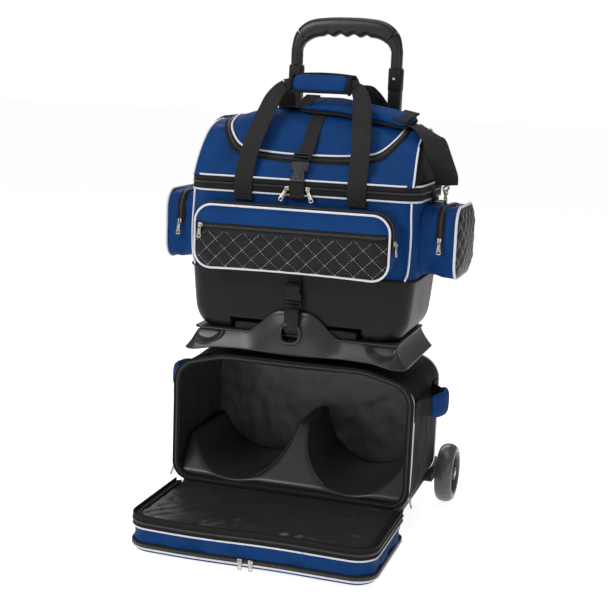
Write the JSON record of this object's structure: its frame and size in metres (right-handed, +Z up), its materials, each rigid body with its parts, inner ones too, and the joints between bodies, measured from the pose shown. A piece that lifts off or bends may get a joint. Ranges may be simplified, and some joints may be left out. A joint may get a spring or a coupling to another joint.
{
  "type": "stacking ball roller bag",
  "caption": "Wheeled ball bag with an open drop-down front flap, a moulded stacking platform, a lift-off upper tote with zipped pockets, and a telescopic trolley handle.",
  "frame": {"origin": "centre of the bounding box's bottom face, on the floor", "axes": "+Z up, -Y the front where the flap opens, +X the bag's right seen from the front"},
  "size_m": [0.636, 0.6069, 1.03],
  "materials": {
    "blue_nylon": "woven nylon, matt",
    "black_nylon": "woven nylon, matt",
    "black_lining": "smooth lining, slight sheen",
    "black_webbing": "ribbed webbing and zip tape, matt",
    "quilted_black": "quilted, satin, pale diamond stitching",
    "moulded_black": "fine moulded texture",
    "moulded_grey": "satin moulded",
    "foam_black": "closed-cell foam",
    "urethane_smoke": "smoke-tinted, glossy",
    "hub_plastic": "satin",
    "steel": "antique nickel",
    "anodised_black": "satin black anodised"
  },
  "bodies": {
    "lower_bag": {"lower_shell": "black_nylon", "lower_back_panel": "black_nylon", "lower_front_frame": "black_webbing", "ball_cradle": "moulded_grey", "base_plate": "moulded_black", "front_foot_left": "moulded_black", "front_foot_right": "moulded_black", "axle_beam": "moulded_black", "axle_rod": "steel", "side_grip_strap_left": "black_webbing", "side_grip_sleeve_left": "blue_nylon", "side_grip_strap_right": "black_webbing", "side_grip_sleeve_right": "blue_nylon", "stacking_platform": "moulded_grey", "docking_strap": "black_webbing", "docking_buckle_male": "moulded_black", "trolley_socket": "moulded_black", "outer_tube_left": "anodised_black", "outer_tube_right": "anodised_black"},
    "flap": {"flap_rim": "black_webbing", "flap_lining": "black_lining", "flap_pocket_gusset": "blue_nylon", "flap_pocket_panel": "blue_nylon"},
    "flap_pull_left": {"flap_pull_left": "steel"},
    "flap_pull_right": {"flap_pull_right": "steel"},
    "wheel_left": {"wheel_tyre_left": "urethane_smoke", "wheel_hub_left": "hub_plastic"},
    "wheel_right": {"wheel_tyre_right": "urethane_smoke", "wheel_hub_right": "hub_plastic"},
    "trolley": {"inner_tube_left": "anodised_black", "inner_tube_right": "anodised_black", "trolley_grip": "moulded_black"},
    "tote": {"tote_shell": "moulded_black", "tote_foam": "foam_black", "tote_body": "blue_nylon", "tote_zip_band": "black_webbing", "shoe_floor": "black_lining", "upper_cover": "blue_nylon", "upper_end_left": "black_nylon", "upper_end_right": "black_nylon", "lid_zip_band": "black_webbing", "top_lid": "blue_nylon", "lid_strap": "black_webbing", "lid_buckle": "moulded_black", "front_pocket_gusset": "blue_nylon", "front_pocket_face": "blue_nylon", "front_pocket_quilt": "quilted_black", "side_pocket_gusset_left": "blue_nylon", "side_pocket_quilt_left": "quilted_black", "side_pocket_gusset_right": "blue_nylon", "side_pocket_quilt_right": "quilted_black", "docking_buckle_female": "moulded_black", "carry_loop_rear": "black_webbing", "shoulder_strap": "black_webbing", "shoulder_pad": "blue_nylon", "strap_hook_left": "steel", "strap_hook_right": "steel"},
    "carry_front": {"carry_loop_front": "black_webbing", "handle_wrap": "blue_nylon"}
  },
  "joints": [
    {"name": "front_flap_hinge", "type": "hinge", "parent": "lower_bag", "child": "flap", "pos_m": [0, -0.062, 0.076], "axis": [-1, 0, 0], "range_deg": [0, 90]},
    {"name": "flap_pull_left_swing", "type": "hinge", "parent": "flap", "child": "flap_pull_left", "pos_m": [-0.009, -0.302, 0.023], "axis": [-1, 0, 0], "range_deg": [0, 80]},
    {"name": "flap_pull_right_swing", "type": "hinge", "parent": "flap", "child": "flap_pull_right", "pos_m": [0.012, -0.302, 0.023], "axis": [-1, 0, 0], "range_deg": [0, 80]},
    {"name": "wheel_left_spin", "type": "hinge", "parent": "lower_bag", "child": "wheel_left", "pos_m": [-0.272, 0.24, 0.0635], "axis": [1, 0, 0], "continuous": true},
    {"name": "wheel_right_spin", "type": "hinge", "parent": "lower_bag", "child": "wheel_right", "pos_m": [0.272, 0.24, 0.0635], "axis": [1, 0, 0], "continuous": true},
    {"name": "trolley_slide", "type": "slide", "parent": "lower_bag", "child": "trolley", "axis": [0, 0, 1], "range_m": [-0.18, 0]},
    {"name": "tote_lift", "type": "slide", "parent": "lower_bag", "child": "tote", "axis": [0, 0, 1], "range_m": [0, 0.3]},
    {"name": "carry_handle_fold", "type": "hinge", "parent": "tote", "child": "carry_front", "pos_m": [0, -0.0535, 0.661], "axis": [1, 0, 0], "range_deg": [0, 90]}
  ]
}
